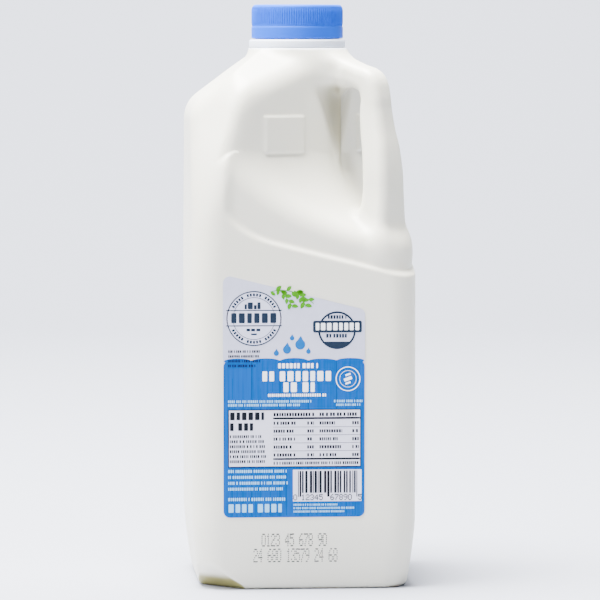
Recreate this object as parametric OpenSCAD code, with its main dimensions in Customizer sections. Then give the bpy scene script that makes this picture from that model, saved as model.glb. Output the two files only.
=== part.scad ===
/* [Body] */
// Width across the flat sides
body_w = 99; // [84:1:120]
// Height of the crease where the sides turn into the sloping shoulder
shoulder_z = 213; // [200:1:240]
// Slope of the shoulder above level, in degrees
shoulder_deg = 37; // [33:1:41]
// Corner radius of the sides, low down
corner_r = 12.5; // [9:0.5:17]
// Corner radius where the sides reach the shoulder
corner_top_r = 20.5; // [17:0.5:24]
// Distance below the shoulder at which the corners start to grow rounder
corner_grow_drop = 75; // [50:1:100]
// Width along one side of the bevel that the two plain corners have at the shoulder
bevel_w = 26; // [18:1:30]
// Distance below the shoulder over which that bevel runs out
bevel_drop = 58; // [40:1:80]

/* [Foot] */
// Radius of the heel round the base
heel_r = 2.5; // [2.5:0.5:10]
// Height below which the sides draw in
taper_z = 30.5; // [24:0.5:32]
// How far the sides draw in at the floor
taper_in = 3.6; // [1:0.2:5]
// Height at which the two cut corners reach the corner edge
facet_z = 12.6; // [6:0.2:18]
// How far the middle of the base is pushed up
push_up = 3; // [1:0.5:6]

/* [Panel above the crease] */
// How far the panel above the slanted crease is set back
panel_set = 1.7; // [0.6:0.1:2.5]
// Distance from the shoulder down to the crease, at the handle corner
crease_drop = 74.3; // [71:0.5:85]
// Slope of the crease across each face, in degrees
crease_deg = 14.1; // [8:0.1:18]
// Distance from the far corner edge to where the panel ends, across the face
panel_from = 15; // [11:0.5:22]

/* [Scoop behind the handle] */
// Distance from the handle corner's edge in to the scoop's wall
scoop_in = 41.8; // [39:0.2:44]
// Radius of the rounded middle of the wall
scoop_arc_r = 44; // [36:1:52]
// Angle between the flat part of the wall and the face beside it, in degrees
scoop_deg = 30; // [26:0.5:33]
// Distance from the shoulder down to the shelf under the scoop
shelf_drop = 57.5; // [47:0.5:62]
// Reach of the shelf's hollow curve, out from the wall
shelf_reach = 34; // [28:1:40]
// Rise of the shelf's hollow curve, up the wall
shelf_rise = 38; // [30:1:44]
// Rounding of the scoop's rim
rim_r = 6; // [3:0.5:8]

/* [Raised plaque on the scoop wall] */
// Width of the plaque
plaque_w = 21; // [14:1:26]
// Height of the plaque
plaque_h = 16; // [10:1:22]
// How far the plaque stands out
plaque_out = 1; // [0.4:0.1:1.4]
// Distance from the shoulder down to the middle of the plaque
plaque_drop = 13; // [9:1:17]
// Distance of the plaque's middle from the diagonal plane
plaque_t = 28.5; // [24:0.5:32]

/* [Handle] */
// Thickness of the handle at its foot, out from the jug's axis
grip_t = 14; // [11:0.5:15]
// Width of the handle at its foot, across
grip_w = 16; // [13:0.5:20]
// Rounding of the handle's edges
grip_r = 4; // [3:0.5:5]
// Distance from the corner's edge in to the handle's middle line, at its upper bend
grip_bend_in = 19.3; // [17:0.2:22]
// Distance from the corner's edge in to the handle's middle line, at its foot
grip_foot_in = 14.9; // [13:0.2:17]
// Height above the shoulder at which the handle leaves the neck
grip_root_rise = 16; // [14:0.5:18]
// Distance below the shoulder at which the handle has bent down
grip_bend_drop = 3; // [0:0.5:6]

/* [Neck and cap] */
// Radius of the collar under the cap
collar_r = 21.5; // [20:0.1:23]
// Height of the neck, from where the shoulder's slope would meet it up to the collar
neck_rise = 3.9; // [3.4:0.1:12]
// Thickness of the collar
collar_t = 3.6; // [2:0.2:5]
// Depth of the groove below the collar
groove = 0.7; // [0.2:0.1:1.5]
// Outside radius of the cap
cap_r = 20.5; // [19:0.1:22]
// Height of the cap with its tamper band
cap_h = 15.1; // [12:0.1:20]
// Height of the tamper band
band_h = 5.4; // [3:0.2:7]
// Wall of the cap
cap_wall = 1.5; // [1:0.1:2]
// Number of ribs round the cap
rib_n = 120; // [60:2:140]
// Depth of the ribs
rib_d = 0.35; // [0.2:0.05:0.6]
// Rounding of the cap's top edge
cap_edge_r = 1.4; // [0.5:0.1:2]
// Gap between the collar and the tamper band
band_gap = 0.4; // [0.2:0.1:1]
// Gap between the neck and the cap's bore
neck_gap = 0.3; // [0.1:0.1:0.6]

/* [Label] */
// Width of the label
label_w = 62.4; // [50:0.2:66]
// Distance from the crease down to the label's slanted top, along the label's taller side
label_below = 19.2; // [16:0.2:50]
// Height of the label's lower edge
label_z = 32.2; // [31:0.2:40]
// Distance of the label's middle from the middle of the face, away from the handle
label_off = 5.1; // [0:0.1:6]
// Thickness of the label with its adhesive
label_t = 0.2; // [0.1:0.05:0.4]
// Corner radius of the label
label_r = 3; // [1:0.5:6]
// Gap between the label and the face behind it
label_gap = 0.02; // [0.01:0.01:0.05]

/* [Hidden] */
half = body_w / 2;
collar_z = shoulder_z + (half - collar_r) * tan(shoulder_deg) + neck_rise;
collar_top_z = collar_z + collar_t;
cap_z = collar_top_z + band_gap;
neck_top_z = cap_z + cap_h - cap_wall;
neck_r = cap_r - cap_wall - neck_gap;
roof_sin = sin(shoulder_deg);
roof_cos = cos(shoulder_deg);
// Distance along the diagonal from the axis to the edge line of a square corner.
diag = half * sqrt(2);
// Slope of the crease plane towards the handle, which gives crease_deg across a face.
crease_slope = tan(crease_deg) * sqrt(2);
corner_s = (half - corner_r) * sqrt(2) + corner_r;
// Heights that hang from the shoulder.
crease_z = shoulder_z - crease_drop;
shelf_z = shoulder_z - shelf_drop;
plaque_z = shoulder_z - plaque_drop;
corner_grow_z = shoulder_z - corner_grow_drop;
bevel_t = (body_w - bevel_w) / sqrt(2);
bevel_slope = bevel_w / sqrt(2) / bevel_drop;
crease_axis_z = crease_z + crease_slope * corner_s;
// A leaning ring turns level over this distance about the axis.
lean_soft = 4;
crease_ring_z = crease_axis_z - crease_slope * lean_soft;
// The panel ends at this distance along the diagonal, measured on a face.
panel_s = panel_from / sqrt(2);
// Middle of the wall's arc, and where the flat part of the wall leaves it.
scoop_s = corner_s - scoop_in;
arc_s = scoop_s - scoop_arc_r;
wall_turn = 45 - scoop_deg;
// Sharpness of the shelf's hollow curve, where 2 is an ellipse.
shelf_power = 1.5;
// Number of angles in a ring, and of halvings when a ring point is sought.
ring_n = 64;
steps = 15;

function clamp(v) = min(max(v, 0), 1);
function ease(v) = let (c = clamp(v)) c * c * (3 - 2 * c);
// The greater of two distances, with a fillet k wide where they are equal.
function smax(a, b, k) = let (h = max(k - abs(a - b), 0) / k) max(a, b) + h * h * k / 4;
// The greater of two distances, with a true radius r between faces at right angles.
function rmax(a, b, r) = min(max(a, b), -r) + norm([max(a + r, 0), max(b + r, 0)]);
// Distance outside a square of half width w with corners of radius r.
function square_d(x, y, w, r) =
    let (a = abs(x) - w + r, b = abs(y) - w + r)
    norm([max(a, 0), max(b, 0)]) + min(max(a, b), 0) - r;
function corner_at(z) =
    corner_r + (corner_top_r - corner_r) * ease((z - corner_grow_z) / (shoulder_z - corner_grow_z));
function taper_at(z) = taper_in * pow(clamp((taper_z - z) / taper_z), 1.4);

// Set-back of the panel above the crease, towards the handle corner only.
function set_back(s, z) =
    let (
        above = (z - crease_axis_z + crease_slope * s) / norm([1, crease_slope]),
        along = (s - panel_s) / 1.6,
        inside = -rmax(-above, -along, 9)
    )
    panel_set * ease(inside / 1.8 + 0.5);

// Distance out from the scoop's wall.
function wall_d(s, t) =
    let (
        u = s - arc_s,
        turn = atan2(abs(t), u),
        flat = u * cos(wall_turn) + abs(t) * sin(wall_turn) - scoop_arc_r
    )
    turn < wall_turn ? norm([u, t]) - scoop_arc_r : flat;
// Height of the shelf's hollow curve, at a distance out from the wall.
function shelf_at(d) =
    let (u = pow(clamp(1 - d / shelf_reach), shelf_power))
    shelf_z + shelf_rise * (1 - pow(1 - u, 1 / shelf_power)) - 0.06 * max(d - shelf_reach, 0);

// Below zero inside the jug, without its handle and neck.
function body_d(x, y, z) =
    let (
        s = (x - y) / sqrt(2),
        t = (x + y) / sqrt(2),
        r = corner_at(z),
        side = square_d(x, y, half - taper_at(z) - set_back(s, z), r),
        roof = square_d(x, y, half, r) * roof_sin + (z - shoulder_z) * roof_cos,
        bevel = (abs(t) - bevel_t - (shoulder_z - z) * bevel_slope) / norm([1, bevel_slope]),
        shell = smax(smax(side, bevel, 5), roof, 6),
        foot = rmax(shell, -z, heel_r),
        cut = smax(foot, (abs(t) - corner_s - z + facet_z) / sqrt(2), 1),
        d = wall_d(s, t),
        hollow = min(d, (z - shelf_at(d)) * 0.8)
    )
    smax(cut, hollow, rim_r);
// Below zero inside the jug with its neck.
function jug_d(x, y, z) = -smax(-body_d(x, y, z), -max(norm([x, y]) - collar_r, z - collar_z - 1), 5);

// Angles crowd towards the corners, where the outline turns.
function ring_angle(i) = let (u = 360 * i / ring_n) u + 0.5 * sin(4 * u) * 45 / PI;
// A ring leans with the crease where it is near it.
function lean_at(z) =
    crease_slope * ease((z - 60) / (crease_z - 60)) * (1 - ease((z - crease_ring_z - 2) / 14));
function ring_point(a, r, z, lean) =
    let (s = r * cos(a + 45))
    [r * cos(a), r * sin(a), z - lean * (norm([max(s, 0), lean_soft]) - lean_soft)];
function find_r(a, z, lean, lo, hi, n) =
    n == 0 ? (lo + hi) / 2 :
    let (mid = (lo + hi) / 2, p = ring_point(a, mid, z, lean))
    jug_d(p[0], p[1], p[2]) < 0 ? find_r(a, z, lean, mid, hi, n - 1) : find_r(a, z, lean, lo, mid, n - 1);

// Even steps from a to b, without b.
function span(a, b, n) = [for (i = [0:n - 1]) a + (b - a) * i / n];
// The groove below the collar stands on the shell's flat top.
shell_top_z = collar_z - 2.2;
// Heights of the rings, closer together where the jug's outline turns.
ring_z = concat(
    [for (v = span(0, 1, 7)) (heel_r + 5) * v * v],
    span(heel_r + 5, taper_z, 3),
    span(taper_z, crease_ring_z - 10, 3),
    [crease_ring_z - 10, crease_ring_z - 3],
    span(crease_ring_z - 1.1, crease_ring_z + 1.5, 4),
    span(crease_ring_z + 1.5, crease_ring_z + 17, 13),
    span(crease_ring_z + 17, plaque_z + 6, 5),
    span(plaque_z + 6, shell_top_z - 1, 13),
    [shell_top_z - 1, shell_top_z]
);
level_n = len(ring_z);
// Width of the flat ring that the jug stands on.
land_w = 5;
dome_in = 16;

module shell() {
    rings = [
        for (z = ring_z)
            for (i = [0:ring_n - 1])
                let (a = ring_angle(i), lean = lean_at(z), r = find_r(a, z, lean, 8, diag, steps))
                ring_point(a, r, z, lean)
    ];
    low = [for (i = [0:ring_n - 1]) rings[i]];
    dome = concat(
        [for (p = low) let (f = 1 - land_w / half) [p[0] * f, p[1] * f, 0]],
        [for (p = low) let (f = 1 - dome_in / half) [p[0] * f, p[1] * f, push_up]]
    );
    top = ring_n * level_n;
    sides = [
        for (k = [0:level_n - 2])
            for (i = [0:ring_n - 1])
                let (a = k * ring_n + i, b = k * ring_n + (i + 1) % ring_n)
                each [[a, a + ring_n, b + ring_n], [a, b + ring_n, b]]
    ];
    base = [
        for (k = [0, top])
            for (i = [0:ring_n - 1])
                let (j = (i + 1) % ring_n, a = k == 0 ? 0 : top, b = k + (k == 0 ? top : ring_n))
                each [[a + i, a + j, b + j], [a + i, b + j, b + i]]
    ];
    lid = [for (i = [1:ring_n - 2]) [top - ring_n, top - ring_n + i + 1, top - ring_n + i]];
    mid = top + ring_n;
    floor = [for (i = [1:ring_n - 2]) [mid, mid + i, mid + i + 1]];
    polyhedron(points = concat(rings, dome), faces = concat(sides, base, lid, floor), convexity = 6);
}

root_s = scoop_s - 1.5;
root_z = shoulder_z + grip_root_rise;
bend_s = corner_s - grip_bend_in;
bend_z = shoulder_z - grip_bend_drop;
foot_s = corner_s - grip_foot_in;
function between(a, b, u) = a + (b - a) * u;
// Stations down the handle's middle line: distance out, height, thickness and width as shares.
grip_stations = [
    [root_s - 7, root_z + 1, 1.2, 1.2],
    [root_s, root_z, 1, 1],
    [between(root_s, bend_s, 0.31), root_z - 1.6, 0.85, 0.85],
    [between(root_s, bend_s, 0.63), root_z - 4, 0.78, 0.78],
    [between(root_s, bend_s, 0.88), root_z - 7.6, 0.86, 0.76],
    [between(root_s, bend_s, 0.96), bend_z + 6, 0.92, 0.76],
    [bend_s, bend_z, 0.94, 0.76],
    [between(bend_s, foot_s, 0.34), between(bend_z, shelf_z, 0.16), 0.96, 0.82],
    [between(bend_s, foot_s, 0.75), between(bend_z, shelf_z, 0.32), 0.98, 0.92],
    [foot_s, between(bend_z, shelf_z, 0.5), 1, 1],
    [foot_s + 0.2, between(bend_z, shelf_z, 0.66), 1.02, 1.02],
    [foot_s - 0.4, between(bend_z, shelf_z, 0.82), 1.12, 1.1],
    [foot_s - 1.8, between(bend_z, shelf_z, 0.95), 1.35, 1.2],
    [foot_s - 3.3, shelf_z - 6, 1.6, 1.3]
];
function curve(p, k, u) =
    let (
        n = len(p) - 1,
        a = p[max(k - 1, 0)],
        b = p[k],
        c = p[min(k + 1, n)],
        d = p[min(k + 2, n)]
    )
    0.5 * (2 * b + (c - a) * u + (2 * a - 5 * b + 4 * c - d) * u * u + (3 * b - a - 3 * c + d) * u * u * u);
grip_steps = 2;
grip_line = [
    for (k = [0:len(grip_stations) - 2])
        for (j = [0:grip_steps - 1]) curve(grip_stations, k, j / grip_steps),
    grip_stations[len(grip_stations) - 1]
];

arc_n = 5;
grip_n = 4 * arc_n;
// Outline of the handle at a station, square to its middle line in the diagonal plane.
function grip_ring(i) =
    let (
        last = len(grip_line) - 1,
        p = grip_line[i],
        q = grip_line[min(i + 1, last)] - grip_line[max(i - 1, 0)],
        slope = atan2(q[1], q[0]) + 90
    )
    [
        for (c = [0:3])
            for (j = [0:arc_n - 1])
                let (
                    a = 90 * (c + j / (arc_n - 1)),
                    side_u = (c == 0 || c == 3) ? 1 : -1,
                    side_v = c < 2 ? 1 : -1,
                    u = side_u * (grip_t * p[2] / 2 - grip_r) + grip_r * cos(a),
                    v = side_v * (grip_w * p[3] / 2 - grip_r) + grip_r * sin(a),
                    s = p[0] + u * cos(slope),
                    z = p[1] + u * sin(slope)
                )
                [(s + v) / sqrt(2), (v - s) / sqrt(2), z]
    ];
// One hull for each length between two stations, which share their outline.
module grip() {
    caps = [[for (j = [0:grip_n - 1]) j], [for (j = [grip_n - 1:-1:0]) grip_n + j]];
    walls = [for (j = [0:grip_n - 1]) let (k = (j + 1) % grip_n) [j, grip_n + j, grip_n + k, k]];
    for (i = [0:len(grip_line) - 2])
        hull() polyhedron(points = concat(grip_ring(i), grip_ring(i + 1)), faces = concat(caps, walls));
}

// The raised plaque, on both halves of the scoop's wall.
module plaques() {
    u = (scoop_arc_r - plaque_t * sin(wall_turn)) / cos(wall_turn);
    rotate([0, 0, -45]) for (side = [-1, 1])
        translate([arc_s + u, side * plaque_t, plaque_z]) rotate([0, 0, side * wall_turn])
            cube([2 * plaque_out, plaque_w, plaque_h], center = true);
}

module neck() {
    low_z = collar_z - 6;
    rotate_extrude($fn = 64) polygon([
        [0, low_z],
        [collar_r - groove, low_z],
        [collar_r - groove, collar_z - groove],
        [collar_r, collar_z],
        [collar_r, collar_top_z - 0.8],
        [collar_r - 0.8, collar_top_z],
        [neck_r, collar_top_z],
        [neck_r, neck_top_z - 1],
        [neck_r - 1, neck_top_z],
        [0, neck_top_z]
    ]);
}

module jug() {
    color("#f1f0ea") union() {
        shell();
        grip();
        plaques();
        neck();
    }
}

module ribs() {
    low = cap_z + band_h;
    outline = [
        for (i = [0:rib_n - 1])
            for (j = [0, 1])
                let (a = 360 * (i + j / 2) / rib_n, r = cap_r - 0.25 - rib_d * j)
                [r * cos(a), r * sin(a)]
    ];
    translate([0, 0, low]) linear_extrude(cap_h - band_h - cap_edge_r) polygon(outline);
}
module cap() {
    top = cap_z + cap_h;
    // The core fills the bottoms of the grooves between the ribs.
    flat_r = cap_r - 0.25 - 0.8 * rib_d;
    color("#4ea5f6") difference() {
        union() {
            ribs();
            rotate_extrude($fn = 96) {
                polygon([
                    [0, cap_z],
                    [cap_r, cap_z],
                    [cap_r, cap_z + band_h - 0.5],
                    [cap_r - 0.5, cap_z + band_h],
                    [flat_r, cap_z + band_h],
                    [flat_r, top - cap_edge_r],
                    [flat_r - cap_edge_r, top],
                    [0, top]
                ]);
                translate([flat_r - cap_edge_r, top - cap_edge_r]) intersection() {
                    circle(cap_edge_r, $fn = 48);
                    square(cap_edge_r);
                }
            }
        }
        translate([0, 0, cap_z - 1]) cylinder(h = cap_h - cap_wall + 1, r = cap_r - cap_wall, $fn = 96);
    }
}

module label() {
    left = label_off + label_w / 2;
    tall = crease_axis_z - tan(crease_deg) * (half - left) - label_below - label_z;
    short = tall - tan(crease_deg) * label_w;
    color("#1f97d8") translate([-label_off, -half - label_gap, label_z]) rotate([90, 0, 0])
        linear_extrude(label_t) offset(label_r, $fn = 32) offset(delta = -label_r) polygon([
            [-label_w / 2, 0],
            [label_w / 2, 0],
            [label_w / 2, short],
            [-label_w / 2, tall]
        ]);
}

jug();
cap();
label();
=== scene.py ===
import random
from math import atan2, cos, degrees, hypot, pi, radians, sin, sqrt, tan
from types import SimpleNamespace

import bpy
import numpy as np
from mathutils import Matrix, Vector


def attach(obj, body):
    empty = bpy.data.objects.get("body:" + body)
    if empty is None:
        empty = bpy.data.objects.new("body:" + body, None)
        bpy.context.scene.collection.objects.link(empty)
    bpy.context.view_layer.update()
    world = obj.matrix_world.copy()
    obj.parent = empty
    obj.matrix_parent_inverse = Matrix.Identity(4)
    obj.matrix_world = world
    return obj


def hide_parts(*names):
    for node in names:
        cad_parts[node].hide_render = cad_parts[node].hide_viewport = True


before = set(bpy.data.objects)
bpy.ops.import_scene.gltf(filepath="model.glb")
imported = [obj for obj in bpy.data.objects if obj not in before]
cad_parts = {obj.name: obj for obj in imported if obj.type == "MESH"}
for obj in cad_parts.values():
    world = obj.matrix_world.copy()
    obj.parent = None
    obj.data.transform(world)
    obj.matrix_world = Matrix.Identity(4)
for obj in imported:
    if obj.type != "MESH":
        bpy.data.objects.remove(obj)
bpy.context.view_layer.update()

bl_info = {
    "name": "Plastic milk jug",
    "version": (1, 0, 0),
    "blender": (4, 5, 0),
    "location": "View3D > Sidebar > Jug",
    "description": "Half-gallon blow-moulded jug with a corner handle, a ribbed cap and a printed label",
    "category": "Add Mesh",
}

MM = 0.001
SEED = 11
PRINT_DEPTH = 0.02  # thickness of one layer of print, in millimetres


# ---------------------------------------------------------------- settings

def linear(code):
    """An sRGB hex colour such as "#1E90FF" as linear red, green and blue."""
    parts = [int(code[i:i + 2], 16) / 255 for i in (1, 3, 5)]
    return tuple(c / 12.92 if c <= 0.04045 else ((c + 0.055) / 1.055) ** 2.4 for c in parts)


def length(name, description, value_mm):
    return bpy.props.FloatProperty(
        name=name, description=description, default=value_mm * MM,
        unit="LENGTH", subtype="DISTANCE", precision=5)


def turn(name, description, value_deg):
    return bpy.props.FloatProperty(
        name=name, description=description, default=radians(value_deg),
        unit="ROTATION", subtype="ANGLE")


def colour(name, description, code):
    return bpy.props.FloatVectorProperty(
        name=name, description=description, default=linear(code),
        subtype="COLOR", size=3, min=0.0, max=1.0)


class JugSizes(bpy.types.PropertyGroup):
    """Sizes of the blow-moulded jug."""
    body_w: length("Body width", "Across the flats of the square body", 99)
    shoulder_z: length("Shoulder height", "Where the walls meet the sloping shoulder", 213)
    shoulder_deg: turn("Shoulder slope", "Slope of the shoulder above level", 37)
    corner_r: length("Corner radius", "Upright corners, low down", 12.5)
    corner_top_r: length("Top corner radius", "Upright corners at the shoulder", 20.5)
    bevel_w: length("Bevel width", "Bevel of the two plain corners at the shoulder", 26)
    bevel_drop: length("Bevel drop", "Height over which the bevel runs out", 58)
    heel_r: length("Heel radius", "Where the walls meet the base", 2.5)
    taper_z: length("Taper height", "Height below which the walls draw in", 30.5)
    taper_in: length("Taper depth", "How far the walls draw in at the base", 3.6)
    facet_z: length("Foot facet height", "Height of the facet across two foot corners", 14.2)
    push_up: length("Push-up", "Height of the dished base", 3)
    panel_set: length("Panel set-back", "How far the walls step in above the crease", 1.7)
    crease_axis_z: length("Crease height", "Height of the crease on the upright axis", 161.73)
    crease_deg: turn("Crease slope", "Slope of the crease on each flat", 14.1)
    panel_s: length("Panel start", "Distance from the axis at which the set-back begins", 10.607)
    scoop_s: length("Scoop depth", "Distance of the scoop's wall from the axis", 23.03)
    scoop_arc_r: length("Scoop radius", "Radius of the scoop's wall", 44)
    scoop_deg: turn("Scoop spread", "Angle over which the wall is curved", 30)
    shelf_z: length("Shelf height", "Lowest point of the scoop's floor", 155.5)
    shelf_reach: length("Shelf reach", "How far the floor runs out from the wall", 34)
    shelf_rise: length("Shelf rise", "How far the floor climbs to the wall", 38)
    rim_r: length("Rim rounding", "Rounding of the scoop's rim", 6)
    plaque_w: length("Plaque width", "Raised plaque on the scoop's wall", 21)
    plaque_h: length("Plaque height", "Raised plaque on the scoop's wall", 16)
    plaque_z: length("Plaque place", "Height of the plaque's middle", 200)
    plaque_t: length("Plaque offset", "Distance of each plaque from the middle", 28.5)
    parting_tip: length("Parting ridge", "Distance of the parting ridge's edge from the axis", 25.4)
    grip_t: length("Grip thickness", "Handle thickness at the foot", 14)
    grip_w: length("Grip width", "Handle width at the foot", 16)
    grip_r: length("Grip edge radius", "Rounding of the handle's edges", 4)


class NeckSizes(bpy.types.PropertyGroup):
    """Sizes of the collar and the cap."""
    collar_r: length("Collar radius", "Bead below the cap", 21.5)
    collar_z: length("Collar height", "Underside of the collar", 238.0)
    collar_t: length("Collar thickness", "Height of the collar", 3.6)
    groove: length("Groove depth", "Undercut below the collar", 0.7)
    neck_r: length("Neck radius", "Neck inside the cap", 18.7)
    neck_top_z: length("Neck top", "Top of the neck", 255.6)
    cap_r: length("Cap radius", "Outside of the cap", 20.5)
    cap_z: length("Cap bottom", "Underside of the band", 242.0)
    cap_h: length("Cap height", "Band and cap together", 15.1)
    band_h: length("Band height", "Smooth band below the ribs", 5.4)
    cap_edge_r: length("Cap edge radius", "Rounding of the top edge", 1.4)
    rib_d: length("Rib depth", "How far each rib stands out", 0.35)
    rib_n: bpy.props.IntProperty(name="Ribs", description="Ribs round the cap", default=120, min=12)


class LabelSizes(bpy.types.PropertyGroup):
    """Sizes of the label and of its print."""
    left: length("Left edge", "Label's left edge from the middle of the panel", -36.3)
    right: length("Right edge", "Label's right edge from the middle of the panel", 26.1)
    bottom: length("Bottom edge", "Height of the label's lower edge", 32.2)
    corner_r: length("Corner radius", "Corners of the label", 3)
    front: length("Front face", "Place of the label's face in front of the axis", 49.72)
    ink: length("Ink step", "How far each layer of print lies above the one below", 0.03)
    plank_w: length("Plank width", "Width of one printed plank", 12.2)
    plank_top: length("Plank top", "Height of the printed planks", 102.4)
    dot: length("Dot size", "Diameter of one dot of the date code", 0.72)
    pitch: length("Character pitch", "Spacing of the date code's characters", 2.07)


class Finish(bpy.types.PropertyGroup):
    """Colours of the plastics, the paper and the inks."""
    plastic: colour("Natural polyethylene", "Jug with the milk behind it", "#E0DDCE")
    # painted shade: this dark olive stands for the shade on the two foot facets, which face down towards the
    # floor
    foot_facet_shade: colour("Painted shade, foot facets", "Shade painted on the two foot facets, darkest at the floor", "#8F8850")
    # painted shade: this darker colour stands for the shade in the hollow under the handle's root
    shade_behind_handle: colour("Painted shade behind the handle", "Shade painted in the hollow under the handle's root", "#948F78")
    clear: colour("Empty neck", "Collar and neck without milk behind them", "#E2E9F8")
    cap: colour("Cap blue", "Moulded cap", "#0052CE")
    paper: colour("Label ground", "Pale ground of the label", "#C0C1D5")
    planks: colour("Plank blue", "Printed planks", "#004C98")
    plank_gap: colour("Plank gap", "Dark lines between the planks", "#003B72")
    white: colour("White ink", "Titles and panels", "#F4F6FA")
    panel: colour("Panel ground", "Pale ground of the table and the bar strip", "#D2D1E0")
    black: colour("Black ink", "Rules, bars and small print", "#15181F")
    navy: colour("Dark ink", "Round badge", "#1E2A3A")
    leaf: colour("Leaf green", "Sprig of leaves", "#458F12")
    drop: colour("Drop blue", "Drops of milk above the planks", "#005EA4")
    pale: colour("Pale blue ink", "Small lines on the planks", "#86C0E8")
    code: colour("Code ink", "Sprayed date code", "#474540")


class Stage(bpy.types.PropertyGroup):
    """Camera, lights and backdrop."""
    distance: length("Camera distance", "From the jug's axis to the camera", 1796)
    azimuth: turn("Camera azimuth", "How far the camera stands round to the left", 4.3)
    eye: length("Eye height", "Height of the camera above the floor", 245.6)
    pitch: turn("Camera pitch", "How far the camera looks down", 3.855)
    aim: length("Camera aim", "How far right of the axis the camera looks", 1.26)
    lens: bpy.props.FloatProperty(
        name="Lens", description="Focal length in millimetres", default=240.0, min=20.0)
    backdrop: colour("Backdrop", "Pale paper sweep", "#A9ACB6")


GROUPS = {"jug_sizes": JugSizes, "jug_neck": NeckSizes, "jug_label": LabelSizes,
          "jug_finish": Finish, "jug_stage": Stage}


def in_mm(group):
    """The group's lengths in millimetres, its angles in radians and its counts as they are."""
    values = {}
    for key, prop in group.bl_rna.properties.items():
        if prop.type in ("FLOAT", "INT") and not getattr(prop, "is_array", False):
            value = getattr(group, key)
            values[key] = value / MM if getattr(prop, "unit", "") == "LENGTH" else value
    return SimpleNamespace(**values)


# ---------------------------------------------------------------- mesh helpers

def new_object(name, verts, faces, smooth=True):
    """A mesh object at the origin; verts are in millimetres."""
    mesh = bpy.data.meshes.new(name)
    mesh.from_pydata([tuple(c * MM for c in v) for v in verts], [], [tuple(f) for f in faces])
    mesh.polygons.foreach_set("use_smooth", [smooth] * len(mesh.polygons))
    mesh.validate()
    mesh.update()
    obj = bpy.data.objects.new(name, mesh)
    bpy.context.scene.collection.objects.link(obj)
    return obj


def finish_piece(obj, material, slot, *nodes):
    """Gives a finished piece its material and its body and hides the CAD nodes it stands for; the slot is not
    used.
    """
    if material is not None:
        obj.data.materials.clear()
        obj.data.materials.append(material)
    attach(obj, "root")
    if nodes:
        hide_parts(*nodes)


def lathe(profile, sides):
    """Verts and faces of a profile of (radius, height) turned about Z, bottom to top on the outside."""
    verts, faces, rings = [], [], []
    for radius, z in profile:
        if radius < 1e-6:
            rings.append([len(verts)])
            verts.append((0.0, 0.0, z))
            continue
        rings.append(list(range(len(verts), len(verts) + sides)))
        turns = [2 * pi * k / sides for k in range(sides)]
        verts += [(radius * cos(a), radius * sin(a), z) for a in turns]
    for low, high in zip(rings, rings[1:]):
        for k in range(sides):
            n = (k + 1) % sides
            if len(low) == 1:
                faces.append((low[0], high[n], high[k]))
            elif len(high) == 1:
                faces.append((low[k], low[n], high[0]))
            else:
                faces.append((low[k], low[n], high[n], high[k]))
    return verts, faces


def arc(cx, cz, radius, start, end, steps):
    """Points (x, z) on an arc, angles in degrees."""
    turns = [radians(start + (end - start) * k / steps) for k in range(steps + 1)]
    return [(cx + radius * cos(a), cz + radius * sin(a)) for a in turns]


def plate(outlines, y):
    """Verts and faces of thin closed prisms: outlines in (x, z), front faces at -y."""
    verts, faces = [], []
    for line in outlines:
        area = sum(a[0] * b[1] - b[0] * a[1] for a, b in zip(line, line[1:] + line[:1]))
        if area < 0:
            line = line[::-1]
        n, base = len(line), len(verts)
        verts += [(x, -y + back, z) for back in (0, PRINT_DEPTH) for x, z in line]
        faces.append(tuple(base + k for k in range(n)))
        faces.append(tuple(base + n + k for k in reversed(range(n))))
        for k in range(n):
            m = (k + 1) % n
            faces.append((base + k, base + n + k, base + n + m, base + m))
    return verts, faces


def ring_plate(cx, cz, outer, inner, y, steps=96):
    """A closed flat ring with its front face at -y."""
    verts, faces = [], []
    for k in range(steps):
        a = radians(360 * k / steps)
        for radius, back in ((outer, 0), (inner, 0), (inner, PRINT_DEPTH), (outer, PRINT_DEPTH)):
            verts.append((cx + radius * cos(a), -y + back, cz + radius * sin(a)))
        here, there = 4 * k, 4 * ((k + 1) % steps)
        faces += [(here + i, here + (i + 1) % 4, there + (i + 1) % 4, there + i) for i in range(4)]
    return verts, faces


def joined(parts):
    """Several (verts, faces) as one."""
    verts, faces = [], []
    for more_verts, more_faces in parts:
        base = len(verts)
        verts += more_verts
        faces += [tuple(base + k for k in f) for f in more_faces]
    return verts, faces


def box_line(x0, z0, x1, z1, radius=0.0, steps=4):
    """A rectangle's outline with rounded corners."""
    if radius <= 0:
        return [(x0, z0), (x1, z0), (x1, z1), (x0, z1)]
    line = []
    for cx, cz, start in ((x1 - radius, z0 + radius, -90), (x1 - radius, z1 - radius, 0),
                          (x0 + radius, z1 - radius, 90), (x0 + radius, z0 + radius, 180)):
        line += arc(cx, cz, radius, start, start + 90, steps)
    return line


# ---------------------------------------------------------------- node helpers

def add(tree, kind, links=None, **settings):
    """Adds a node, sets what it holds and links or sets its inputs; a node as value is its first output."""
    node = tree.nodes.new(kind)
    for key, value in settings.items():
        setattr(node, key, value)
    for key, value in (links or {}).items():
        socket = node.inputs[key]
        if isinstance(value, bpy.types.Node):
            value = value.outputs[0]
        if isinstance(value, bpy.types.NodeSocket):
            tree.links.new(value, socket)
        else:
            socket.default_value = value
    return node


def rgba(value):
    return (*value, 1.0)


def dimmed(shade, factor):
    return tuple(min(1.0, c * factor) for c in shade)


def new_material(name, **shader_values):
    """An empty material with its shader; returns the material, its tree, the shader and the coordinates."""
    material = bpy.data.materials.new(name)
    material.use_nodes = True
    tree = material.node_tree
    tree.nodes.clear()
    shader = add(tree, "ShaderNodeBsdfPrincipled")
    for key, value in shader_values.items():
        shader.inputs[key.replace("_", " ")].default_value = value
    add(tree, "ShaderNodeOutputMaterial", {"Surface": shader})
    where = add(tree, "ShaderNodeTexCoord").outputs["Object"]
    return material, tree, shader, where


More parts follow.
